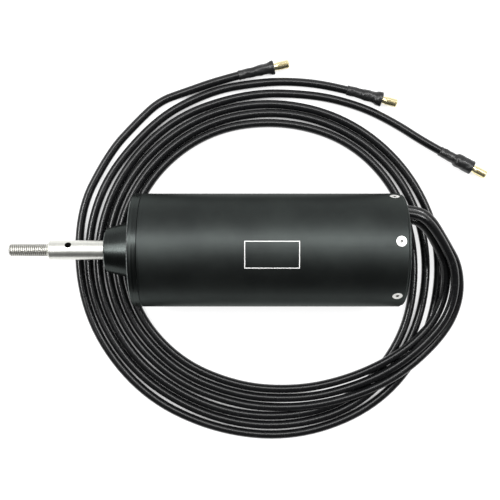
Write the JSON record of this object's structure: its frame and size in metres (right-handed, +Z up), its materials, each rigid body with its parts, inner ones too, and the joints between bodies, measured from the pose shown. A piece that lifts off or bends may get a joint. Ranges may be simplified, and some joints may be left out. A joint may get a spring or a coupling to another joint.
{
  "type": "waterproof brushless motor",
  "caption": "Sealed brushless motor with a black can, conical nose, steel propeller shaft with a threaded stud, and long phase cables that end in bullet pins.",
  "frame": {"origin": "centre of the front mounting face, on the shaft's axis", "axes": "-X along the shaft, out of the motor's front; +X to the rear, where the cables leave; +Z up, with the motor lying on its side"},
  "size_m": [0.3054, 0.2506, 0.07],
  "materials": {
    "can": "black anodised, satin",
    "stainless": "ground and bright",
    "bearing_steel": "ground and polished",
    "cage_steel": "pressed sheet",
    "spring_steel": "black phosphate",
    "seal_rubber": "moulded nitrile rubber",
    "lamination": "stamped electrical steel",
    "copper": "enamelled copper wire",
    "insulation": "aramid paper and glass board",
    "magnet": "nickel plated",
    "rotor_band": "wound glass and carbon band",
    "brass": "turned",
    "potting": "cast black resin",
    "silicone": "black silicone, soft sheen",
    "shrink": "black heat-shrink sleeve",
    "gold": "gold plated"
  },
  "bodies": {
    "stator": {"housing_tube": "can", "front_cover": "can", "rear_cover": "can", "rear_cover_screws": "stainless", "front_o_ring": "seal_rubber", "rear_o_ring": "seal_rubber", "shaft_seal_outer": "seal_rubber", "shaft_seal_inner": "seal_rubber", "bearing_circlip": "spring_steel", "preload_washer": "spring_steel", "stator_stack": "lamination", "slot_liners": "insulation", "front_insulator": "insulation", "rear_insulator": "insulation", "cable_potting": "potting", "front_bearing_outer_ring": "bearing_steel", "front_bearing_shields": "cage_steel", "rear_bearing_outer_ring": "bearing_steel", "rear_bearing_shields": "cage_steel", "winding_u": "copper", "phase_lead_u": "silicone", "phase_cable_u": "silicone", "heat_shrink_u": "shrink", "bullet_connector_u": "gold", "winding_v": "copper", "phase_lead_v": "silicone", "phase_cable_v": "silicone", "heat_shrink_v": "shrink", "bullet_connector_v": "gold", "winding_w": "copper", "phase_lead_w": "silicone", "phase_cable_w": "silicone", "heat_shrink_w": "shrink", "bullet_connector_w": "gold"},
    "rotor": {"shaft": "stainless", "front_bearing_inner_ring": "bearing_steel", "rear_bearing_inner_ring": "bearing_steel", "rotor_core": "lamination", "magnets_north": "magnet", "magnets_south": "magnet", "rotor_sleeve": "rotor_band", "front_balance_ring": "brass", "rear_balance_ring": "brass", "rotor_circlip": "spring_steel"},
    "front_ball_set": {"front_bearing_balls": "bearing_steel", "front_bearing_cage": "cage_steel"},
    "rear_ball_set": {"rear_bearing_balls": "bearing_steel", "rear_bearing_cage": "cage_steel"}
  },
  "joints": [
    {"name": "shaft_spin", "type": "hinge", "parent": "stator", "child": "rotor", "pos_m": [0, 0, 0], "axis": [1, 0, 0], "continuous": true},
    {"name": "front_ball_orbit", "type": "hinge", "parent": "stator", "child": "front_ball_set", "pos_m": [0.007, 0, 0], "axis": [1, 0, 0], "continuous": true},
    {"name": "rear_ball_orbit", "type": "hinge", "parent": "stator", "child": "rear_ball_set", "pos_m": [0.1525, 0, 0], "axis": [1, 0, 0], "continuous": true}
  ],
  "couplings": [
    {"joint": "front_ball_orbit", "follows": "shaft_spin", "ratio": 0.381},
    {"joint": "rear_ball_orbit", "follows": "shaft_spin", "ratio": 0.381}
  ]
}
